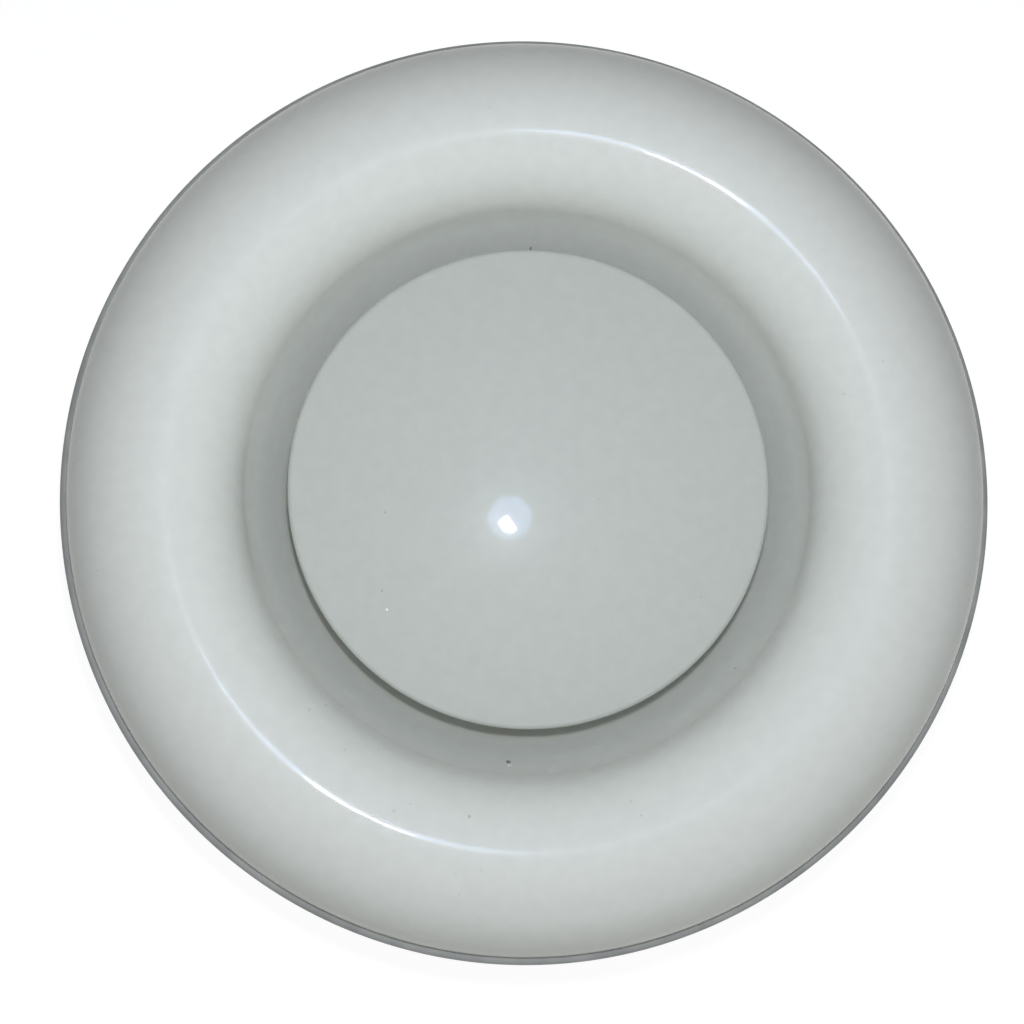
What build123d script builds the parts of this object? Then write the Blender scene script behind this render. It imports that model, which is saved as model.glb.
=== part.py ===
# Extract air valve for a 125 mm ventilation duct.
# A pressed bell-mouth ring carries a domed disc on a threaded spindle. Turning the disc screws it in
# or out of the conical seat. The ring locks with a bayonet into a galvanised collar in the duct.
# Millimetres. The wall plane is z = 0, and +Z points out of the wall into the room.

import os
from math import asin, cos, degrees, radians, sin, sqrt, tan

from build123d import *

# Valve ring
sheet = 0.8
rim_d = 164.0
bead_r = 1.4
bead_turn = 238.0
crease_r = 0.4
flank_slope = 78.0
flank_side_r = 16.2
shoulder_slope = 50.0
flank_top_r = 17.6
mouth_top_r = 12.0
mouth_mid_slope = 50.0
mouth_low_r = 19.0
mouth_slope = 84.0
seat_angle = 19.5
seat_drop = 24.0
throat_bend_r = 2.0
neck_flange_w = 9.0

# Disc
disc_lap = 0.8
disc_dome_r = 240.0
disc_edge_r = 1.2
disc_skirt = 2.0
disc_hem_r = 1.2
disc_hem = 1.2
disc_edge_z = 4.5

# Hub and spindle
hub_flange_d = 20.0
hub_flange_t = 1.6
hub_boss_d = 13.0
hub_boss_t = 2.4
spindle_d = 8.0
spindle_tip = 1.6
spindle_chamfer = 0.8
groove_d = 6.6
running_gap = 0.05

# Crossbar and threaded bush
bar_w = 16.0
bar_t = 1.5
bar_corner_r = 3.0
rib_w = 7.0
rib_h = 1.0
rib_end_gap = 4.0
rivet_d = 3.2
rivet_head_d = 6.0
rivet_head_h = 1.1
rivet_pitch = 8.0
bush_head_d = 14.0
bush_head_h = 3.6
bush_shank_d = 11.0

# Lock nut, washer and stop ring
washer_d = 16.0
washer_t = 1.2
nut_flats = 13.0
nut_t = 5.0
nut_chamfer = 0.5
nut_travel = 2.5
disc_travel_out = 11.0
stop_gap = 0.5
stop_ring_d = 13.0
stop_ring_t = 1.2

# Foam gasket
gasket_w = 6.0
gasket_top_ratio = 0.55
gasket_bottom_ratio = 0.95

# Mounting collar
rim_lap = 20.0
collar_sheet = 0.8
collar_depth = 50.0
collar_bend_r = 1.2
collar_flange_gap = 1.2
collar_lead = 3.0
collar_lead_angle = 8.0
screw_hole_d = 4.5
screw_holes = 4
lug_gap = 0.7
tab_w = 24.0
tab_reach = 5.0
tab_gap = 0.15
stop_h = 2.6
stop_side_gap = 0.4


def walk(start, heading, runs, shift):
    """Edges of a line of straight runs and bends, moved sideways by shift, left being positive."""
    edges = []
    side = Vector(0, shift).rotate(Axis.Z, heading)
    point = Vector(*start) + side
    for kind, size, turn in runs:
        if kind == "run":
            edges.append(Line(point, point + Vector(size, 0).rotate(Axis.Z, heading)))
            point = edges[-1] @ 1
            continue
        radius = size - shift if turn > 0 else size + shift
        if radius > 0:
            tangent = Vector(1, 0).rotate(Axis.Z, heading)
            edges.append(JernArc(start=point, tangent=tangent, radius=radius, arc_size=turn))
            point = edges[-1] @ 1
        heading += turn
    return edges


def sheet_section(start, heading, runs, thickness):
    """Section of a sheet whose one face follows the runs, with its thickness to the left of them."""
    face_side = walk(start, heading, runs, 0)
    back_side = walk(start, heading, runs, thickness)
    caps = [
        Line(face_side[0] @ 0, back_side[0] @ 0),
        Line(face_side[-1] @ 1, back_side[-1] @ 1),
    ]
    return make_face(face_side + back_side + caps)


def spin(section):
    """Solid of revolution about the valve's axis from a section drawn as radius and height."""
    return revolve(Plane.XZ * section, axis=Axis.Z)


def span(d, z_low, z_high):
    """Round bar on the axis between two heights."""
    return Pos(0, 0, z_low) * Cylinder(d / 2, z_high - z_low, align=(Align.CENTER, Align.CENTER, Align.MIN))


# Places that several pieces share
rim_r = rim_d / 2
flank_run = flank_top_r * sin(radians(shoulder_slope))
flank_run += flank_side_r * (sin(radians(flank_slope)) - sin(radians(shoulder_slope)))
flank_drop = flank_top_r * (1 - cos(radians(shoulder_slope)))
flank_drop += flank_side_r * (cos(radians(shoulder_slope)) - cos(radians(flank_slope)))
crease_run = crease_r * sin(radians(flank_slope))
crease_drop = crease_r * (1 - cos(radians(flank_slope)))
crown_r = rim_r - bead_r - crease_run - flank_run
crown_z = 2 * bead_r + crease_drop + flank_drop
mouth_run = mouth_top_r * sin(radians(mouth_mid_slope))
mouth_run += mouth_low_r * (sin(radians(mouth_slope)) - sin(radians(mouth_mid_slope)))
mouth_drop = mouth_top_r * (1 - cos(radians(mouth_mid_slope)))
mouth_drop += mouth_low_r * (cos(radians(mouth_mid_slope)) - cos(radians(mouth_slope)))
seat_r = crown_r - mouth_run
seat_z = crown_z - mouth_drop
throat_arc_r = seat_r - seat_drop * tan(radians(seat_angle))
throat_r = throat_arc_r - throat_bend_r * (1 - cos(radians(seat_angle)))
neck_z = seat_z - seat_drop - throat_bend_r * (1 + sin(radians(seat_angle)))
neck_flange_r = throat_r + throat_bend_r + neck_flange_w
rivet_r = neck_flange_r - neck_flange_w / 2
bar_rear_z = neck_z - bar_t
washer_rear_z = bar_rear_z - washer_t
nut_rear_z = washer_rear_z - nut_t
stop_front_z = nut_rear_z - nut_travel - disc_travel_out - stop_gap
stop_rear_z = stop_front_z - stop_ring_t
spindle_end_z = stop_rear_z - running_gap - spindle_tip
disc_r = throat_r + disc_lap
dome_sin = (disc_r - disc_edge_r) / (disc_dome_r - disc_edge_r)
dome_turn = degrees(asin(dome_sin))
dome_drop = (disc_dome_r - disc_edge_r) * (1 - cos(radians(dome_turn)))
disc_top_z = disc_edge_z + disc_edge_r + dome_drop
dome_centre_z = disc_top_z - disc_dome_r
disc_back_r = disc_dome_r - sheet
hub_front_z = dome_centre_z + sqrt(disc_back_r**2 - (spindle_d / 2) ** 2)
collar_r = rim_r - rim_lap
collar_in_r = collar_r - collar_sheet
bar_half = collar_in_r - lug_gap
tab_rear_z = neck_z + tab_gap
tab_front_z = tab_rear_z + collar_sheet

# The ring's outer face as bends from the crown: outwards to the rolled rim, inwards to the neck flange
flank_bends = [
    ("bend", flank_top_r, -shoulder_slope),
    ("bend", flank_side_r, shoulder_slope - flank_slope),
    ("bend", crease_r, flank_slope),
    ("bend", bead_r, -bead_turn),
]
throat_bends = [
    ("bend", mouth_top_r, mouth_mid_slope),
    ("bend", mouth_low_r, mouth_slope - mouth_mid_slope),
    ("bend", 0, 90 - seat_angle - mouth_slope),
    ("run", seat_drop / cos(radians(seat_angle)), 0),
    ("bend", throat_bend_r, 90 + seat_angle),
    ("run", neck_flange_w, 0),
]


def at_rivets(solid):
    """Copies of a solid at the four rivets, two on each side of the neck."""
    return [place * solid for place in GridLocations(2 * rivet_r, rivet_pitch, 2, 2)]


def valve_ring():
    crown = (crown_r, crown_z)
    outer = sheet_section(crown, 0, flank_bends, -sheet)
    inner = sheet_section(crown, 180, throat_bends, sheet)
    ring = spin(outer) + spin(inner)
    return ring - at_rivets(span(rivet_d, neck_z - sheet, neck_z + 2 * sheet))


def valve_disc():
    bends = [
        ("bend", disc_dome_r, -dome_turn),
        ("bend", disc_edge_r, dome_turn - 90),
        ("run", disc_skirt, 0),
        ("bend", disc_hem_r, -90),
        ("run", disc_hem, 0),
    ]
    return spin(sheet_section((0, disc_top_z), 0, bends, -sheet))


def disc_hub():
    """Stepped boss whose front face follows the back of the disc."""
    low_z = disc_top_z - sheet - hub_flange_t
    hub = span(hub_flange_d, low_z, disc_top_z) + span(hub_boss_d, low_z - hub_boss_t, low_z)
    hub &= Pos(0, 0, dome_centre_z) * Sphere(disc_back_r)
    return hub - span(spindle_d, spindle_end_z, disc_top_z)


def spindle():
    rod = span(spindle_d, spindle_end_z, hub_front_z)
    end = rod.faces().sort_by(Axis.Z)[0].edges()
    rod = chamfer(end, spindle_chamfer)
    groove = span(spindle_d, stop_rear_z - running_gap, stop_front_z + running_gap)
    groove -= span(groove_d, stop_rear_z - running_gap, stop_front_z + running_gap)
    return rod - groove


def stop_ring():
    ring = span(stop_ring_d, stop_rear_z, stop_front_z)
    return ring - span(groove_d + 2 * running_gap, stop_rear_z, stop_front_z)


def crossbar():
    """Flat strip across the neck with a pressed rib on each side of the bush."""
    outline = RectangleRounded(2 * bar_half, bar_w, bar_corner_r)
    bar = Pos(0, 0, bar_rear_z) * extrude(outline, bar_t)
    rib_start = bush_head_d / 2 + rib_end_gap
    rib_end = throat_r - rib_end_gap
    places = [Pos(x, 0, 0) for x in ((rib_start + rib_end) / 2, -(rib_start + rib_end) / 2)]
    raised = SlotOverall(rib_end - rib_start, rib_w)
    hollow = SlotOverall(rib_end - rib_start - 2 * bar_t, rib_w - 2 * bar_t)
    for place in places:
        bar += place * Pos(0, 0, neck_z) * extrude(raised, rib_h)
        bar -= place * Pos(0, 0, bar_rear_z) * extrude(hollow, rib_h)
    bar -= span(bush_shank_d, bar_rear_z, neck_z)
    return bar - at_rivets(span(rivet_d, bar_rear_z, neck_z))


def crossbar_rivets():
    front_z = neck_z + sheet
    shank = span(rivet_d, bar_rear_z, front_z)
    bulge = ((rivet_head_d / 2) ** 2 + rivet_head_h**2) / (2 * rivet_head_h)
    ball = Sphere(bulge)
    front = Pos(0, 0, front_z + rivet_head_h - bulge) * ball
    rear = Pos(0, 0, bar_rear_z - rivet_head_h + bulge) * ball
    front &= span(rivet_head_d, front_z, front_z + rivet_head_h)
    rear &= span(rivet_head_d, bar_rear_z - rivet_head_h, bar_rear_z)
    return Compound(children=at_rivets(shank + front + rear))


def threaded_bush():
    bush = span(bush_head_d, neck_z, neck_z + bush_head_h) + span(bush_shank_d, bar_rear_z, neck_z)
    rim = bush.faces().sort_by(Axis.Z)[-1].edges()
    bush = chamfer(rim, nut_chamfer)
    return bush - span(spindle_d + 2 * running_gap, bar_rear_z, neck_z + bush_head_h)


def lock_washer():
    washer = span(washer_d, washer_rear_z, bar_rear_z)
    return washer - span(spindle_d + 2 * running_gap, washer_rear_z, bar_rear_z)


def lock_nut():
    """Thin hexagon nut with its corners turned off at both ends."""
    hexagon = RegularPolygon(nut_flats / 2, 6, major_radius=False)
    nut = Pos(0, 0, nut_rear_z) * extrude(hexagon, nut_t)
    corner_r = nut_flats / 2 / cos(radians(30))
    cone = span(2 * corner_r, nut_rear_z, washer_rear_z)
    cone = chamfer(cone.edges().filter_by(GeomType.CIRCLE), nut_chamfer)
    nut &= cone
    return nut - span(spindle_d + 2 * running_gap, nut_rear_z, washer_rear_z)


def gasket_seat():
    """The part of the flank's inner face that the foam strip is glued to."""
    return walk((crown_r, crown_z), 0, flank_bends, -sheet)[1].trim(gasket_top_ratio, gasket_bottom_ratio)


def gasket_inner_r():
    return (gasket_seat() @ 0).X - gasket_w


def rim_gasket():
    seat = gasket_seat()
    high, low, inner = seat @ 0, seat @ 1, gasket_inner_r()
    outer = high.X
    section = make_face(
        [
            seat,
            Line(low, (outer, 0)),
            Line((outer, 0), (inner, 0)),
            Line((inner, 0), (inner, high.Y)),
            Line((inner, high.Y), high),
        ]
    )
    return spin(section)


def mounting_ring():
    """Collar with a screw flange and two bayonet tabs lanced and folded in from its wall."""
    flange_r = gasket_inner_r() - collar_flange_gap
    bends = [
        ("run", flange_r - collar_r - collar_bend_r, 0),
        ("bend", collar_bend_r, 90),
        ("run", collar_depth - collar_bend_r - collar_lead, 0),
        ("bend", 0, -collar_lead_angle),
        ("run", collar_lead / cos(radians(collar_lead_angle)), 0),
    ]
    ring = spin(sheet_section((flange_r, 0), 180, bends, -collar_sheet))
    hole_r = (flange_r + collar_r + collar_bend_r) / 2
    hole = span(screw_hole_d, 0, collar_sheet)
    ring -= [place * hole for place in PolarLocations(hole_r, screw_holes, 180 / screw_holes)]
    tab_plan = Circle(collar_in_r + collar_sheet / 2) - Circle(collar_in_r - tab_reach)
    tab_plan &= Pos(collar_r, 0) * Rectangle(collar_r, tab_w)
    tab = Pos(0, 0, tab_rear_z) * extrude(tab_plan, collar_sheet)
    stop_y = -(bar_w / 2 + stop_side_gap)
    stop_x = collar_in_r - tab_reach
    stop = Box(tab_reach - lug_gap, collar_sheet, stop_h, align=(Align.MIN, Align.MAX, Align.MAX))
    tab += Pos(stop_x, stop_y, tab_rear_z) * stop
    window = Box(collar_r, tab_w, tab_reach, align=(Align.MIN, Align.CENTER, Align.MAX))
    window = Pos(collar_r / 2, 0, tab_rear_z) * window
    for turn in (0, 180):
        ring -= Rot(0, 0, turn) * window
        ring += Rot(0, 0, turn) * tab
    return ring


NODES = {
    "valve_ring": valve_ring,
    "valve_disc": valve_disc,
    "disc_hub": disc_hub,
    "spindle": spindle,
    "stop_ring": stop_ring,
    "crossbar": crossbar,
    "crossbar_rivets": crossbar_rivets,
    "threaded_bush": threaded_bush,
    "lock_washer": lock_washer,
    "lock_nut": lock_nut,
    "rim_gasket": rim_gasket,
    "mounting_ring": mounting_ring,
}

os.makedirs("parts", exist_ok=True)
for name, make in NODES.items():
    solids = make().solids()
    piece = solids[0] if len(solids) == 1 else Compound(children=list(solids))
    piece.label = name
    export_step(piece, f"parts/{name}.step")
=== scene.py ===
from math import asin, cos, degrees, hypot, pi, radians, sin, tan

import bmesh
import bpy
from mathutils import Matrix, Vector, noise


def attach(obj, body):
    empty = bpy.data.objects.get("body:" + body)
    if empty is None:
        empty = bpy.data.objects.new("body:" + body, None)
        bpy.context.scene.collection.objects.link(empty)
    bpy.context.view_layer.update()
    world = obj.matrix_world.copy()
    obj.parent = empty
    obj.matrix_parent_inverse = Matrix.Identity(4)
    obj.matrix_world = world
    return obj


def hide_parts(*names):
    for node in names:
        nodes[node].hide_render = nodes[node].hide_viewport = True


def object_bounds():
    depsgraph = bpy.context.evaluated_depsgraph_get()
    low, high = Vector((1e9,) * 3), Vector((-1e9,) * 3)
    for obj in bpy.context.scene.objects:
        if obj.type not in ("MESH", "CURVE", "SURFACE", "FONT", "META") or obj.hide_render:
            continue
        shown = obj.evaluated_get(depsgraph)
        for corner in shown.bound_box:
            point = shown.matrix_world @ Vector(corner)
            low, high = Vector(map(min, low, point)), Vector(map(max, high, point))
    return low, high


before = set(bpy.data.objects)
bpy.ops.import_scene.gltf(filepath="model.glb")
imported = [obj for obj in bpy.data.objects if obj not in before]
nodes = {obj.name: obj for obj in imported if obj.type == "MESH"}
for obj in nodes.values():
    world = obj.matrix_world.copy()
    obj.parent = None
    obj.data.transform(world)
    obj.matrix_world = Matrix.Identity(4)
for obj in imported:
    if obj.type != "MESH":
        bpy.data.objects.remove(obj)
cad_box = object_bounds()

MM = 0.001

# Sizes of the enamelled sheet, as in the CAD source, in mm and degrees
SHEET = 0.8
RIM_R = 82.0
BEAD_R, BEAD_TURN, CREASE_R = 1.4, 238.0, 0.4
FLANK_SLOPE, FLANK_SIDE_R = 78.0, 16.2
SHOULDER_SLOPE, FLANK_TOP_R = 50.0, 17.6
MOUTH_TOP_R, MOUTH_MID_SLOPE = 12.0, 50.0
MOUTH_LOW_R, MOUTH_SLOPE = 19.0, 84.0
SEAT_ANGLE, SEAT_DROP, THROAT_BEND_R, NECK_FLANGE_W = 19.5, 24.0, 2.0, 9.0
DISC_LAP, DOME_R, DISC_EDGE_R = 0.8, 240.0, 1.2
DISC_SKIRT, DISC_HEM_R, DISC_HEM, DISC_EDGE_Z = 2.0, 1.2, 1.2, 4.5
GASKET_TOP_RATIO, GASKET_BOTTOM_RATIO = 0.55, 0.95

# Fineness of the meshes: run length in mm and bend in degrees between points, and points on a circle
RUN_STEP, BEND_STEP, BEND_LEAST, AROUND = 3.0, 5.0, 12, 288
MERGE_DISTANCE = 1e-7

# Details that only this scene has, in mm and degrees
PITCH, THREAD_DEPTH, GROOVE_R, TIP_CHAMFER = 1.25, 0.68, 3.3, 0.8
CREST_SHARE, FLANKS_SHARE = 0.125, 0.625
FOAM_ROUND, FOAM_SHRINK, FOAM_JOINT_AT, FOAM_JOINT_GAP = 0.7, 0.05, 245.0, 0.5

# Painted shade: thin grey darkening on the foot of the flank and the rolled rim, where the limb falls dark
# under the light
PAINTED_RIM_SHADE, RIM_SHADE_FROM_R, RIM_SHADE_FULL_R = (0.35, 0.36, 0.35), 79.2, 80.3

# Marks in the paint: distance from the axis, direction and radius, and shade as a share of the paint
RING_MARKS = (
    (48.4, -94.3, 0.28, 0.3), (48.4, -93.9, 0.26, 0.45), (48.8, -94.1, 0.26, 1.3), (48.8, -93.7, 0.26, 1.3),
    (46.3, 89.0, 0.28, 0.5), (48.7, -41.0, 0.26, 0.8), (55.1, -73.0, 0.26, 0.87), (55.8, -100.5, 0.34, 0.74),
    (63.3, -97.5, 0.26, 0.9), (52.8, -134.0, 0.26, 0.87), (51.0, -132.5, 0.26, 0.87),
    (53.9, -124.5, 0.28, 0.87), (56.3, -110.5, 0.26, 0.86), (58.1, -112.5, 0.34, 0.86),
    (64.5, -101.0, 0.26, 0.9), (67.7, -100.0, 0.26, 0.9),
)
DISC_MARKS = ((32.5, -138.5, 0.30, 1.7), (31.5, -107.5, 1.4, 0.95), (25.3, -168.5, 0.26, 0.75))


def sin_d(a):
    return sin(radians(a))


def cos_d(a):
    return cos(radians(a))


def flank_point(slope, depth):
    """Point (r, z) so deep under the outer face of the ring's flank, where it slopes so much."""
    top = min(slope, SHOULDER_SLOPE)
    r = crown_r + FLANK_TOP_R * sin_d(top) + FLANK_SIDE_R * (sin_d(slope) - sin_d(top))
    z = crown_z - FLANK_TOP_R * (1 - cos_d(top)) - FLANK_SIDE_R * (cos_d(top) - cos_d(slope))
    return r - depth * sin_d(slope), z - depth * cos_d(slope)


crown_r = (RIM_R - BEAD_R - CREASE_R * sin_d(FLANK_SLOPE) - FLANK_TOP_R * sin_d(SHOULDER_SLOPE)
           - FLANK_SIDE_R * (sin_d(FLANK_SLOPE) - sin_d(SHOULDER_SLOPE)))
crown_z = (2 * BEAD_R + CREASE_R * (1 - cos_d(FLANK_SLOPE)) + FLANK_TOP_R * (1 - cos_d(SHOULDER_SLOPE))
           + FLANK_SIDE_R * (cos_d(SHOULDER_SLOPE) - cos_d(FLANK_SLOPE)))
seat_r = (crown_r - MOUTH_TOP_R * sin_d(MOUTH_MID_SLOPE)
          - MOUTH_LOW_R * (sin_d(MOUTH_SLOPE) - sin_d(MOUTH_MID_SLOPE)))
throat_r = seat_r - SEAT_DROP * tan(radians(SEAT_ANGLE)) - THROAT_BEND_R * (1 - cos_d(SEAT_ANGLE))
disc_r = throat_r + DISC_LAP
dome_turn = degrees(asin((disc_r - DISC_EDGE_R) / (DOME_R - DISC_EDGE_R)))
disc_top_z = DISC_EDGE_Z + DISC_EDGE_R + (DOME_R - DISC_EDGE_R) * (1 - cos_d(dome_turn))


# Mesh helpers
def walk(start, heading, runs, shift):
    """Points (r, z) along straight runs and bends, moved sideways by shift, left being positive."""
    x = start[0] - shift * sin_d(heading)
    z = start[1] + shift * cos_d(heading)
    points = [(x, z)]
    for kind, size, turn in runs:
        if kind == "run":
            count = max(1, int(size / RUN_STEP))
            for _ in range(count):
                x += size / count * cos_d(heading)
                z += size / count * sin_d(heading)
                points.append((x, z))
            continue
        radius = size - shift if turn > 0 else size + shift
        if radius > 0:
            side = 1 if turn > 0 else -1
            cx = x - side * radius * sin_d(heading)
            cz = z + side * radius * cos_d(heading)
            count = max(BEND_LEAST, int(abs(turn) / BEND_STEP) + 1)
            for i in range(1, count + 1):
                h = heading + turn * i / count
                points.append((cx + side * radius * sin_d(h), cz - side * radius * cos_d(h)))
            x, z = points[-1]
        heading += turn
    return points


def rounded(corners, radius, steps=4):
    """Closed outline through the corners, each one with a radius cut to an arc-like curve."""
    points = []
    for i, corner in enumerate(corners):
        before, here, after = Vector(corners[i - 1]), Vector(corner), Vector(corners[(i + 1) % len(corners)])
        start = here + (before - here).normalized() * radius
        end = here + (after - here).normalized() * radius
        for k in range(steps + 1):
            t = k / steps
            points.append(start.lerp(here, t).lerp(here.lerp(end, t), t))
    return points


def polar(r, turn, z):
    """Place in metres from a radius and a height in mm and an angle in radians."""
    return Vector((r * cos(turn), r * sin(turn), z)) * MM


def skin(bm, rows, closed):
    """Quads between rows of vertices, where each row is a closed loop."""
    pairs = zip(rows, rows[1:] + rows[:1]) if closed else zip(rows, rows[1:])
    for a, b in pairs:
        for i in range(len(a)):
            j = (i + 1) % len(a)
            bm.faces.new((a[i], b[i], b[j], a[j]))


def finish_mesh(name, bm, sharp_angle=35):
    """Object with a smooth mesh, creased where faces meet at more than the sharp angle."""
    bmesh.ops.remove_doubles(bm, verts=bm.verts, dist=MERGE_DISTANCE)
    bmesh.ops.recalc_face_normals(bm, faces=bm.faces)
    for face in bm.faces:
        face.smooth = True
    for edge in bm.edges:
        edge.smooth = len(edge.link_faces) == 2 and edge.calc_face_angle(0) < radians(sharp_angle)
    mesh = bpy.data.meshes.new(name)
    bm.to_mesh(mesh)
    bm.free()
    piece = bpy.data.objects.new(name, mesh)
    bpy.context.scene.collection.objects.link(piece)
    return piece


def lathe(name, section):
    """Mesh of revolution about Z from a closed section."""
    bm = bmesh.new()
    turns = [2 * pi * i / AROUND for i in range(AROUND)]
    skin(bm, [[bm.verts.new(polar(r, turn, z)) for turn in turns] for r, z in section], closed=True)
    bmesh.ops.dissolve_degenerate(bm, dist=MERGE_DISTANCE, edges=bm.edges)
    return finish_mesh(name, bm)


def extent(name):
    """Least and greatest radius and height of a CAD node, in mm."""
    node = nodes[name]
    places = [node.matrix_world @ v.co for v in node.data.vertices]
    radii = [hypot(p.x, p.y) / MM for p in places]
    heights = [p.z / MM for p in places]
    return min(radii), max(radii), min(heights), max(heights)


# Material helpers
class Nodes:
    """Short ways to add and link shader nodes."""

    def __init__(self, tree):
        self.tree = tree

    def add(self, kind, **values):
        node = self.tree.nodes.new(kind)
        for key, value in values.items():
            setattr(node, key, value)
        return node

    def link(self, a, b):
        self.tree.links.new(a, b)

    def math(self, kind, a, b):
        node = self.add("ShaderNodeMath", operation=kind)
        for socket, value in zip(node.inputs, (a, b)):
            if isinstance(value, (int, float)):
                socket.default_value = value
            else:
                self.link(value, socket)
        return node.outputs[0]

    def seen(self):
        """1 for rays from the camera and for reflected or refracted ones, else 0."""
        rays = self.add("ShaderNodeLightPath")
        bent = self.math("MAXIMUM", rays.outputs["Is Glossy Ray"], rays.outputs["Is Transmission Ray"])
        return self.math("MAXIMUM", rays.outputs["Is Camera Ray"], bent)


class Paint(Nodes):
    """A material with its main shader, and short ways to add its patterns."""

    def __init__(self, name):
        self.material = bpy.data.materials.new(name)
        self.material.use_nodes = True
        super().__init__(self.material.node_tree)
        self.tree.nodes.clear()
        self.out = self.add("ShaderNodeOutputMaterial")
        self.shader = self.add("ShaderNodeBsdfPrincipled")
        self.link(self.shader.outputs[0], self.out.inputs[0])
        self.place = self.add("ShaderNodeTexCoord").outputs["Object"]
        self.plan = self.vector("MULTIPLY", self.place, (1, 1, 0)).outputs["Vector"]

    def vector(self, kind, a, b):
        node = self.add("ShaderNodeVectorMath", operation=kind)
        self.link(a, node.inputs[0])
        node.inputs[1].default_value = b
        return node

    def noise(self, scale, detail=2.0, rough=0.5, place=None):
        node = self.add("ShaderNodeTexNoise")
        node.inputs["Scale"].default_value = scale
        node.inputs["Detail"].default_value = detail
        node.inputs["Roughness"].default_value = rough
        self.link(place or self.place, node.inputs["Vector"])
        return node.outputs["Fac"]

    def remap(self, value, low, high, to_low, to_high, smooth=True):
        node = self.add("ShaderNodeMapRange", interpolation_type="SMOOTHSTEP" if smooth else "LINEAR")
        for key, number in zip(("From Min", "From Max", "To Min", "To Max"), (low, high, to_low, to_high)):
            node.inputs[key].default_value = number
        self.link(value, node.inputs["Value"])
        return node.outputs["Result"]

    def mix(self, factor, a, b):
        node = self.add("ShaderNodeMix", data_type="RGBA")
        self.link(factor, node.inputs[0])
        for socket, value in ((node.inputs[6], a), (node.inputs[7], b)):
            if isinstance(value, tuple):
                socket.default_value = (*value, 1)
            else:
                self.link(value, socket)
        return node.outputs[2]

    def bump(self, height, strength, distance, under=None):
        node = self.add("ShaderNodeBump")
        node.inputs["Strength"].default_value = strength
        node.inputs["Distance"].default_value = distance
        self.link(height, node.inputs["Height"])
        if under is not None:
            self.link(under, node.inputs["Normal"])
        return node.outputs["Normal"]

    def spots(self, scale, radius, share):
        """Mask of scattered round specks of a radius in metres, in a share of the cells per metre."""
        node = self.add("ShaderNodeTexVoronoi", feature="F1")
        node.inputs["Scale"].default_value = scale
        self.link(self.place, node.inputs["Vector"])
        picked = self.remap(self.split(node.outputs["Color"]), 1 - share, 1 - share + 0.001, 0, 1, False)
        near = self.remap(node.outputs["Distance"], radius * scale * 0.6, radius * scale, 1, 0)
        return self.math("MULTIPLY", near, picked)

    def split(self, colour):
        node = self.add("ShaderNodeSeparateColor")
        self.link(colour, node.inputs[0])
        return node.outputs[0]

    def away(self, centre):
        """Distance in plan from a place, in metres."""
        return self.vector("DISTANCE", self.plan, centre).outputs["Value"]

    def spot(self, r, turn, radius):
        """Mask of one round mark, at a distance from the axis in mm and a direction in degrees."""
        return self.remap(self.away(polar(r, radians(turn), 0)), radius * 0.5 * MM, radius * MM, 1, 0)


def enamel(name, colour, rough, marks, shaded_rim=False):
    """Baked gloss enamel with faint orange peel, a scatter of specks in the paint and single marks, and
    optionally painted shade on the rim band.
    """
    n = Paint(name)
    cloudy = tuple(0.97 * c for c in colour)
    tone = n.mix(n.remap(n.noise(420, 3), 0.3, 0.7, 0, 1), colour, cloudy)
    tone = n.mix(n.spots(170, 0.00024, 0.22), tone, tuple(0.82 * c for c in colour))
    tone = n.mix(n.spots(120, 0.00017, 0.05), tone, tuple(0.5 * c for c in colour))
    tone = n.mix(n.spots(105, 0.00016, 0.05), tone, (0.93, 0.93, 0.92))
    for r, turn, radius, shade in marks:
        tone = n.mix(n.spot(r, turn, radius), tone, tuple(min(0.95, shade * c) for c in colour))
    # Painted shade: the foot of the flank and the rim darkened in streaks, standing in for the dark limb
    if shaded_rim:
        rim_shade = n.remap(n.away((0, 0, 0)), RIM_SHADE_FROM_R * MM, RIM_SHADE_FULL_R * MM, 0, 1)
        shade_streaks = n.remap(n.noise(160, 3), 0.25, 0.75, 0.75, 1.0)
        tone = n.mix(n.math("MULTIPLY", rim_shade, shade_streaks), tone, PAINTED_RIM_SHADE)
    n.link(tone, n.shader.inputs["Base Color"])
    n.link(n.remap(n.noise(45, 2), 0.3, 0.7, rough - 0.03, rough + 0.04), n.shader.inputs["Roughness"])
    peel = n.bump(n.noise(700, 1.0), 0.10, 0.00002)
    n.link(n.bump(n.noise(55, 1.0), 0.12, 0.0001, peel), n.shader.inputs["Normal"])
    n.shader.inputs["Specular IOR Level"].default_value = 0.04
    n.shader.inputs["Coat Weight"].default_value = 0.09
    n.shader.inputs["Coat Roughness"].default_value = 0.025
    return n.material


def plated(name, bright, dull, rough, grain=(1, 1, 1)):
    """Zinc-plated or plain steel: cloudy passivation, fine drawing lines and small handling marks."""
    n = Paint(name)
    lines = n.noise(900, 3, 0.6, n.vector("MULTIPLY", n.place, grain).outputs["Vector"])
    cloud = n.remap(n.noise(90, 4, 0.6), 0.3, 0.7, 0, 1)
    tone = n.mix(cloud, bright, dull)
    tone = n.mix(n.spots(420, 0.0003, 0.12), tone, tuple(0.6 * c for c in dull))
    n.link(tone, n.shader.inputs["Base Color"])
    n.link(n.remap(lines, 0.3, 0.7, rough - 0.07, rough + 0.09), n.shader.inputs["Roughness"])
    n.link(n.bump(lines, 0.15, 0.00003), n.shader.inputs["Normal"])
    n.shader.inputs["Metallic"].default_value = 1.0
    return n.material


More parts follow.
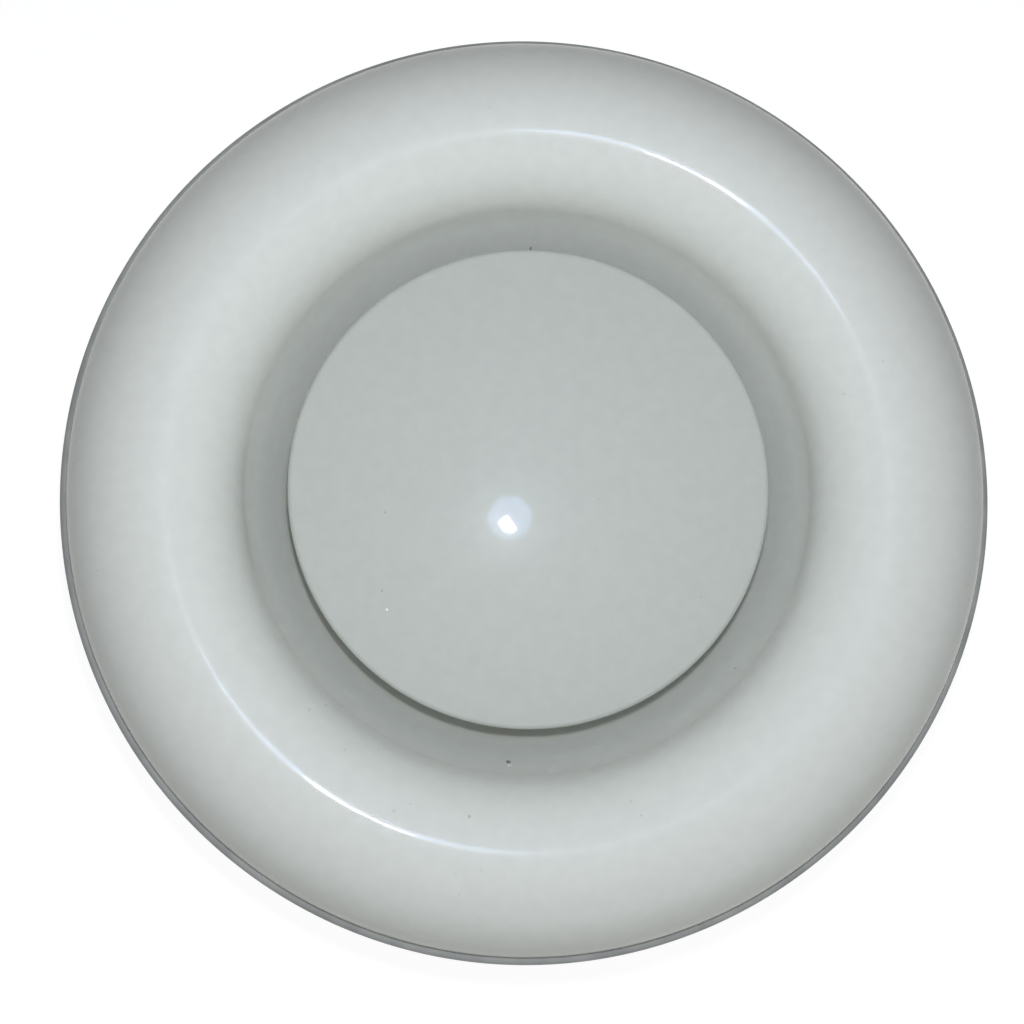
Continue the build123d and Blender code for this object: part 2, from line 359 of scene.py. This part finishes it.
def galvanised(name):
    """Hot-dip zinc with a spangle of crystal grains."""
    n = Paint(name)
    bend = n.add("ShaderNodeVectorMath", operation="ADD")
    wobble = n.add("ShaderNodeTexNoise")
    wobble.inputs["Scale"].default_value = 160
    n.link(n.place, wobble.inputs["Vector"])
    small = n.add("ShaderNodeVectorMath", operation="SCALE")
    small.inputs["Scale"].default_value = 0.004
    n.link(wobble.outputs["Color"], small.inputs[0])
    n.link(n.place, bend.inputs[0])
    n.link(small.outputs[0], bend.inputs[1])
    cells = n.add("ShaderNodeTexVoronoi", feature="F1")
    cells.inputs["Scale"].default_value = 140
    n.link(bend.outputs[0], cells.inputs["Vector"])
    grain = n.split(cells.outputs["Color"])
    tone = n.mix(n.remap(grain, 0, 1, 0, 1, False), (0.47, 0.49, 0.51), (0.70, 0.72, 0.74))
    tone = n.mix(n.remap(n.noise(30, 4, 0.6), 0.45, 0.75, 0, 0.45), tone, (0.42, 0.43, 0.43))
    n.link(tone, n.shader.inputs["Base Color"])
    n.link(n.remap(grain, 0, 1, 0.30, 0.48, False), n.shader.inputs["Roughness"])
    n.link(n.bump(n.noise(500, 3), 0.12, 0.00004), n.shader.inputs["Normal"])
    n.shader.inputs["Metallic"].default_value = 1.0
    return n.material


def foam_stuff(name):
    """Dark closed-cell foam strip with cut cells in its surface, and painted shade that darkens the cell
    pits.
    """
    n = Paint(name)
    cells = n.add("ShaderNodeTexVoronoi", feature="F1")
    cells.inputs["Scale"].default_value = 1300
    n.link(n.place, cells.inputs["Vector"])
    depth = n.remap(cells.outputs["Distance"], 0.1, 0.6, 0, 1)
    # Painted shade: the cell pits darker than the cell walls around them
    tone = n.mix(depth, (0.07, 0.07, 0.075), (0.17, 0.17, 0.18))
    tone = n.mix(n.remap(n.noise(60, 3), 0.4, 0.7, 0, 0.5), tone, (0.20, 0.20, 0.205))
    n.link(tone, n.shader.inputs["Base Color"])
    n.link(n.bump(depth, 0.6, 0.0003), n.shader.inputs["Normal"])
    n.shader.inputs["Roughness"].default_value = 0.9
    n.shader.inputs["Specular IOR Level"].default_value = 0.25
    return n.material


# Pieces
def valve_ring_skin():
    """Pressed ring from its neck flange through the bell mouth to the rolled rim."""
    outward = [
        ("bend", FLANK_TOP_R, -SHOULDER_SLOPE),
        ("bend", FLANK_SIDE_R, SHOULDER_SLOPE - FLANK_SLOPE),
        ("bend", CREASE_R, FLANK_SLOPE),
        ("bend", BEAD_R, -BEAD_TURN),
    ]
    inward = [
        ("bend", MOUTH_TOP_R, MOUTH_MID_SLOPE),
        ("bend", MOUTH_LOW_R, MOUTH_SLOPE - MOUTH_MID_SLOPE),
        ("bend", 0, 90 - SEAT_ANGLE - MOUTH_SLOPE),
        ("run", SEAT_DROP / cos_d(SEAT_ANGLE), 0),
        ("bend", THROAT_BEND_R, 90 + SEAT_ANGLE),
        ("run", NECK_FLANGE_W, 0),
    ]
    crown = (crown_r, crown_z)
    face = walk(crown, 180, inward, 0)[:0:-1] + walk(crown, 0, outward, 0)
    back = walk(crown, 180, inward, SHEET)[:0:-1] + walk(crown, 0, outward, -SHEET)
    return lathe("valve_ring_skin", face + back[::-1])


def valve_disc_skin():
    """Domed disc with a rounded edge, a short skirt and a turned-in hem."""
    bends = [
        ("bend", DOME_R, -dome_turn),
        ("bend", DISC_EDGE_R, dome_turn - 90),
        ("run", DISC_SKIRT, 0),
        ("bend", DISC_HEM_R, -90),
        ("run", DISC_HEM, 0),
    ]
    face = walk((0, disc_top_z), 0, bends, 0)
    back = walk((0, disc_top_z), 0, bends, -SHEET)
    return lathe("valve_disc_skin", face + back[::-1])


def threaded_spindle():
    """Spindle with its screw thread, its groove for the stop ring and a chamfered end."""
    _, core_r, low, high = extent("spindle")
    _, _, groove_low, groove_high = extent("stop_ring")
    segments, rows_per_turn, edge = 28, 10, 0.02

    def limit(z):
        if groove_low - edge < z < groove_high + edge:
            return GROOVE_R
        return min(core_r, core_r - TIP_CHAMFER + z - low)

    def radius(turn, z):
        phase = (z / PITCH - turn / (2 * pi)) % 1.0
        cut = min(1.0, max(0.0, (abs(2 * phase - 1) - CREST_SHARE) / FLANKS_SHARE))
        return min(limit(z), core_r - THREAD_DEPTH * cut)

    count = int((high - low) / PITCH * rows_per_turn)
    heights = {low + (high - low) * i / count for i in range(count + 1)}
    for z in (groove_low, groove_high):
        heights |= {z - 1.5 * edge, z - 0.5 * edge, z + 0.5 * edge, z + 1.5 * edge}
    bm = bmesh.new()
    turns = [2 * pi * i / segments for i in range(segments)]
    rows = [[bm.verts.new(polar(radius(t, z), t, z)) for t in turns] for z in sorted(heights)]
    skin(bm, rows, closed=False)
    bm.faces.new(rows[0])
    bm.faces.new(rows[-1])
    return finish_mesh("spindle_thread", bm, 50)


def ripple(rate, turn, level):
    """Smooth noise along a circle, about rate waves in each radian."""
    return noise.noise((rate * cos(turn), rate * sin(turn), level))


def foam_ring():
    """Foam strip bent round under the flank, with soft edges, a slight waviness and a butt joint."""
    inner_r, _, low, high = extent("rim_gasket")
    ratios = (GASKET_TOP_RATIO, (GASKET_TOP_RATIO + GASKET_BOTTOM_RATIO) / 2, GASKET_BOTTOM_RATIO)
    slopes = [SHOULDER_SLOPE + ratio * (FLANK_SLOPE - SHOULDER_SLOPE) for ratio in ratios]
    glued = [flank_point(slope, SHEET) for slope in slopes]
    section = rounded([(inner_r, low), (inner_r, high), *glued, (glued[0][0], low)], FOAM_ROUND)
    middle = sum(section, Vector((0, 0))) / len(section)
    segments = 260
    start = radians(FOAM_JOINT_AT) + FOAM_JOINT_GAP / middle.x / 2
    sweep = 2 * pi - FOAM_JOINT_GAP / middle.x
    bm = bmesh.new()
    rows = []
    for i in range(segments + 1):
        turn = start + sweep * i / segments
        row = []
        for k, point in enumerate(section):
            wave = 0.5 + ripple(3, turn, 0.15 * k) + 0.5 * ripple(14, turn, 0.3 * k)
            soft = middle + (point - middle) * (1 - FOAM_SHRINK * min(1.0, max(0.0, wave)))
            row.append(bm.verts.new(polar(soft.x, turn, soft.y)))
        rows.append(row)
    skin(bm, rows, closed=False)
    bm.faces.new(rows[0])
    bm.faces.new(rows[-1])
    return finish_mesh("foam_ring", bm, 60)


def dress(piece, body, node, material):
    """Puts a modelled piece in the place of a CAD node."""
    piece.data.materials.append(material)
    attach(piece, body)
    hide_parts(node)


zinc = plated("zinc_plate", (0.66, 0.67, 0.68), (0.54, 0.55, 0.56), 0.34)
strip = plated("zinc_strip", (0.66, 0.67, 0.68), (0.54, 0.55, 0.56), 0.36, (0.08, 1, 1))
rivet = plated("rivet_steel", (0.60, 0.61, 0.62), (0.48, 0.49, 0.50), 0.40)
spring = plated("spring_steel", (0.24, 0.24, 0.25), (0.16, 0.16, 0.17), 0.38)
collar = galvanised("galvanised")
foam = foam_stuff("foam")

# The ring's enamel carries painted shade on the foot of its flank and its rim
dress(valve_ring_skin(), "valve_body", "valve_ring",
      enamel("ring_enamel", (0.79, 0.81, 0.745), 0.26, RING_MARKS, shaded_rim=True))
dress(valve_disc_skin(), "disc", "valve_disc",
      enamel("disc_enamel", (0.60, 0.625, 0.57), 0.24, DISC_MARKS))
dress(threaded_spindle(), "disc", "spindle", zinc)
gasket = foam_ring()
dress(gasket, "valve_body", "rim_gasket", foam)

finishes = {
    "disc_hub": zinc, "spindle": zinc, "threaded_bush": zinc, "lock_washer": zinc, "lock_nut": zinc,
    "crossbar": strip, "crossbar_rivets": rivet, "stop_ring": spring, "mounting_ring": collar,
    "rim_gasket": foam,
}
for name, material in finishes.items():
    slots = nodes[name].data.materials
    slots.clear()
    slots.append(material)

# Camera, floor and light
EYE = Vector((-8.27, -21.34, 200.0)) * MM
AIM = Vector((-2.91, -4.25, 0.0)) * MM
FOCAL_PX, IMAGE_PX = 1129.1, 1024.0
FLASH = EYE + Vector((2.3, 16.5, 0.0)) * MM
GLOW = EYE + Vector((4.0, 21.5, 1.5)) * MM
FLOOR_HALF, FLOOR_WHITE, AMBIENT = 4.0, 0.9, 0.17

scene = bpy.context.scene
scene.view_settings.view_transform = "Standard"


def add_camera():
    """Camera at the photograph's place, with the photograph's field of view."""
    data = bpy.data.cameras.new("camera")
    data.sensor_width = 36.0
    data.lens = FOCAL_PX / IMAGE_PX * data.sensor_width
    data.clip_start = 0.01
    camera = bpy.data.objects.new("camera", data)
    scene.collection.objects.link(camera)
    back = (EYE - AIM).normalized()
    right = Vector((0, 1, 0)).cross(back).normalized()
    up = back.cross(right)
    camera.matrix_world = Matrix.Translation(EYE) @ Matrix((right, up, back)).transposed().to_4x4()
    scene.camera = camera


def add_floor(z):
    """Plain pale floor that keeps the shadow and looks white to the camera and in reflections."""
    mesh = bpy.data.meshes.new("floor")
    corners = [(x * FLOOR_HALF, y * FLOOR_HALF, z) for x, y in ((-1, -1), (1, -1), (1, 1), (-1, 1))]
    mesh.from_pydata(corners, [], [(0, 1, 2, 3)])
    floor = bpy.data.objects.new("floor", mesh)
    scene.collection.objects.link(floor)
    n = Paint("floor")
    n.shader.inputs["Base Color"].default_value = (0.2, 0.2, 0.2, 1)
    n.shader.inputs["Roughness"].default_value = 0.9
    glow = n.add("ShaderNodeEmission")
    n.link(n.math("MULTIPLY", n.seen(), FLOOR_WHITE), glow.inputs["Strength"])
    both = n.add("ShaderNodeAddShader")
    n.link(n.shader.outputs[0], both.inputs[0])
    n.link(glow.outputs[0], both.inputs[1])
    n.link(both.outputs[0], n.out.inputs[0])
    mesh.materials.append(n.material)


def add_lamp(name, place, size, power, colour=(1, 1, 1), tall=None):
    """Area lamp that looks at the valve's face, a disk or a rectangle."""
    data = bpy.data.lights.new(name, "AREA")
    data.shape = "RECTANGLE" if tall else "DISK"
    data.size = size
    if tall:
        data.size_y = tall
    data.energy = power
    data.color = colour
    lamp = bpy.data.objects.new(name, data)
    scene.collection.objects.link(lamp)
    lamp.location = place
    lamp.rotation_euler = (Vector((0, 0, 0.01)) - Vector(place)).to_track_quat("-Z", "Y").to_euler()


add_camera()
add_floor(cad_box[0][2])
world = bpy.data.worlds.new("studio")
world.use_nodes = True
sky = Nodes(world.node_tree)
backdrop = sky.tree.nodes["Background"].inputs
backdrop["Color"].default_value = (1, 1, 1, 1)
sky.link(sky.math("MAXIMUM", sky.seen(), AMBIENT), backdrop["Strength"])
scene.world = world
add_lamp("flash", FLASH, 9.0 * MM, 0.187, (1.0, 0.975, 0.915), tall=5.6 * MM)
add_lamp("flash_glow", GLOW, 27 * MM, 0.075, (0.30, 0.52, 1.0))
add_lamp("soft_top", (0.0, -0.05, 0.85), 0.5, 0.26)
add_lamp("side_left", (-0.60, 0.02, 0.30), 0.25, 0.07, (1.0, 0.98, 0.97), tall=0.5)
add_lamp("side_right", (0.60, -0.12, 0.30), 0.25, 0.07, (1.0, 0.98, 0.97), tall=0.5)
add_lamp("soft_front", (0.20, -0.65, 0.24), 0.5, 0.5, tall=0.25)
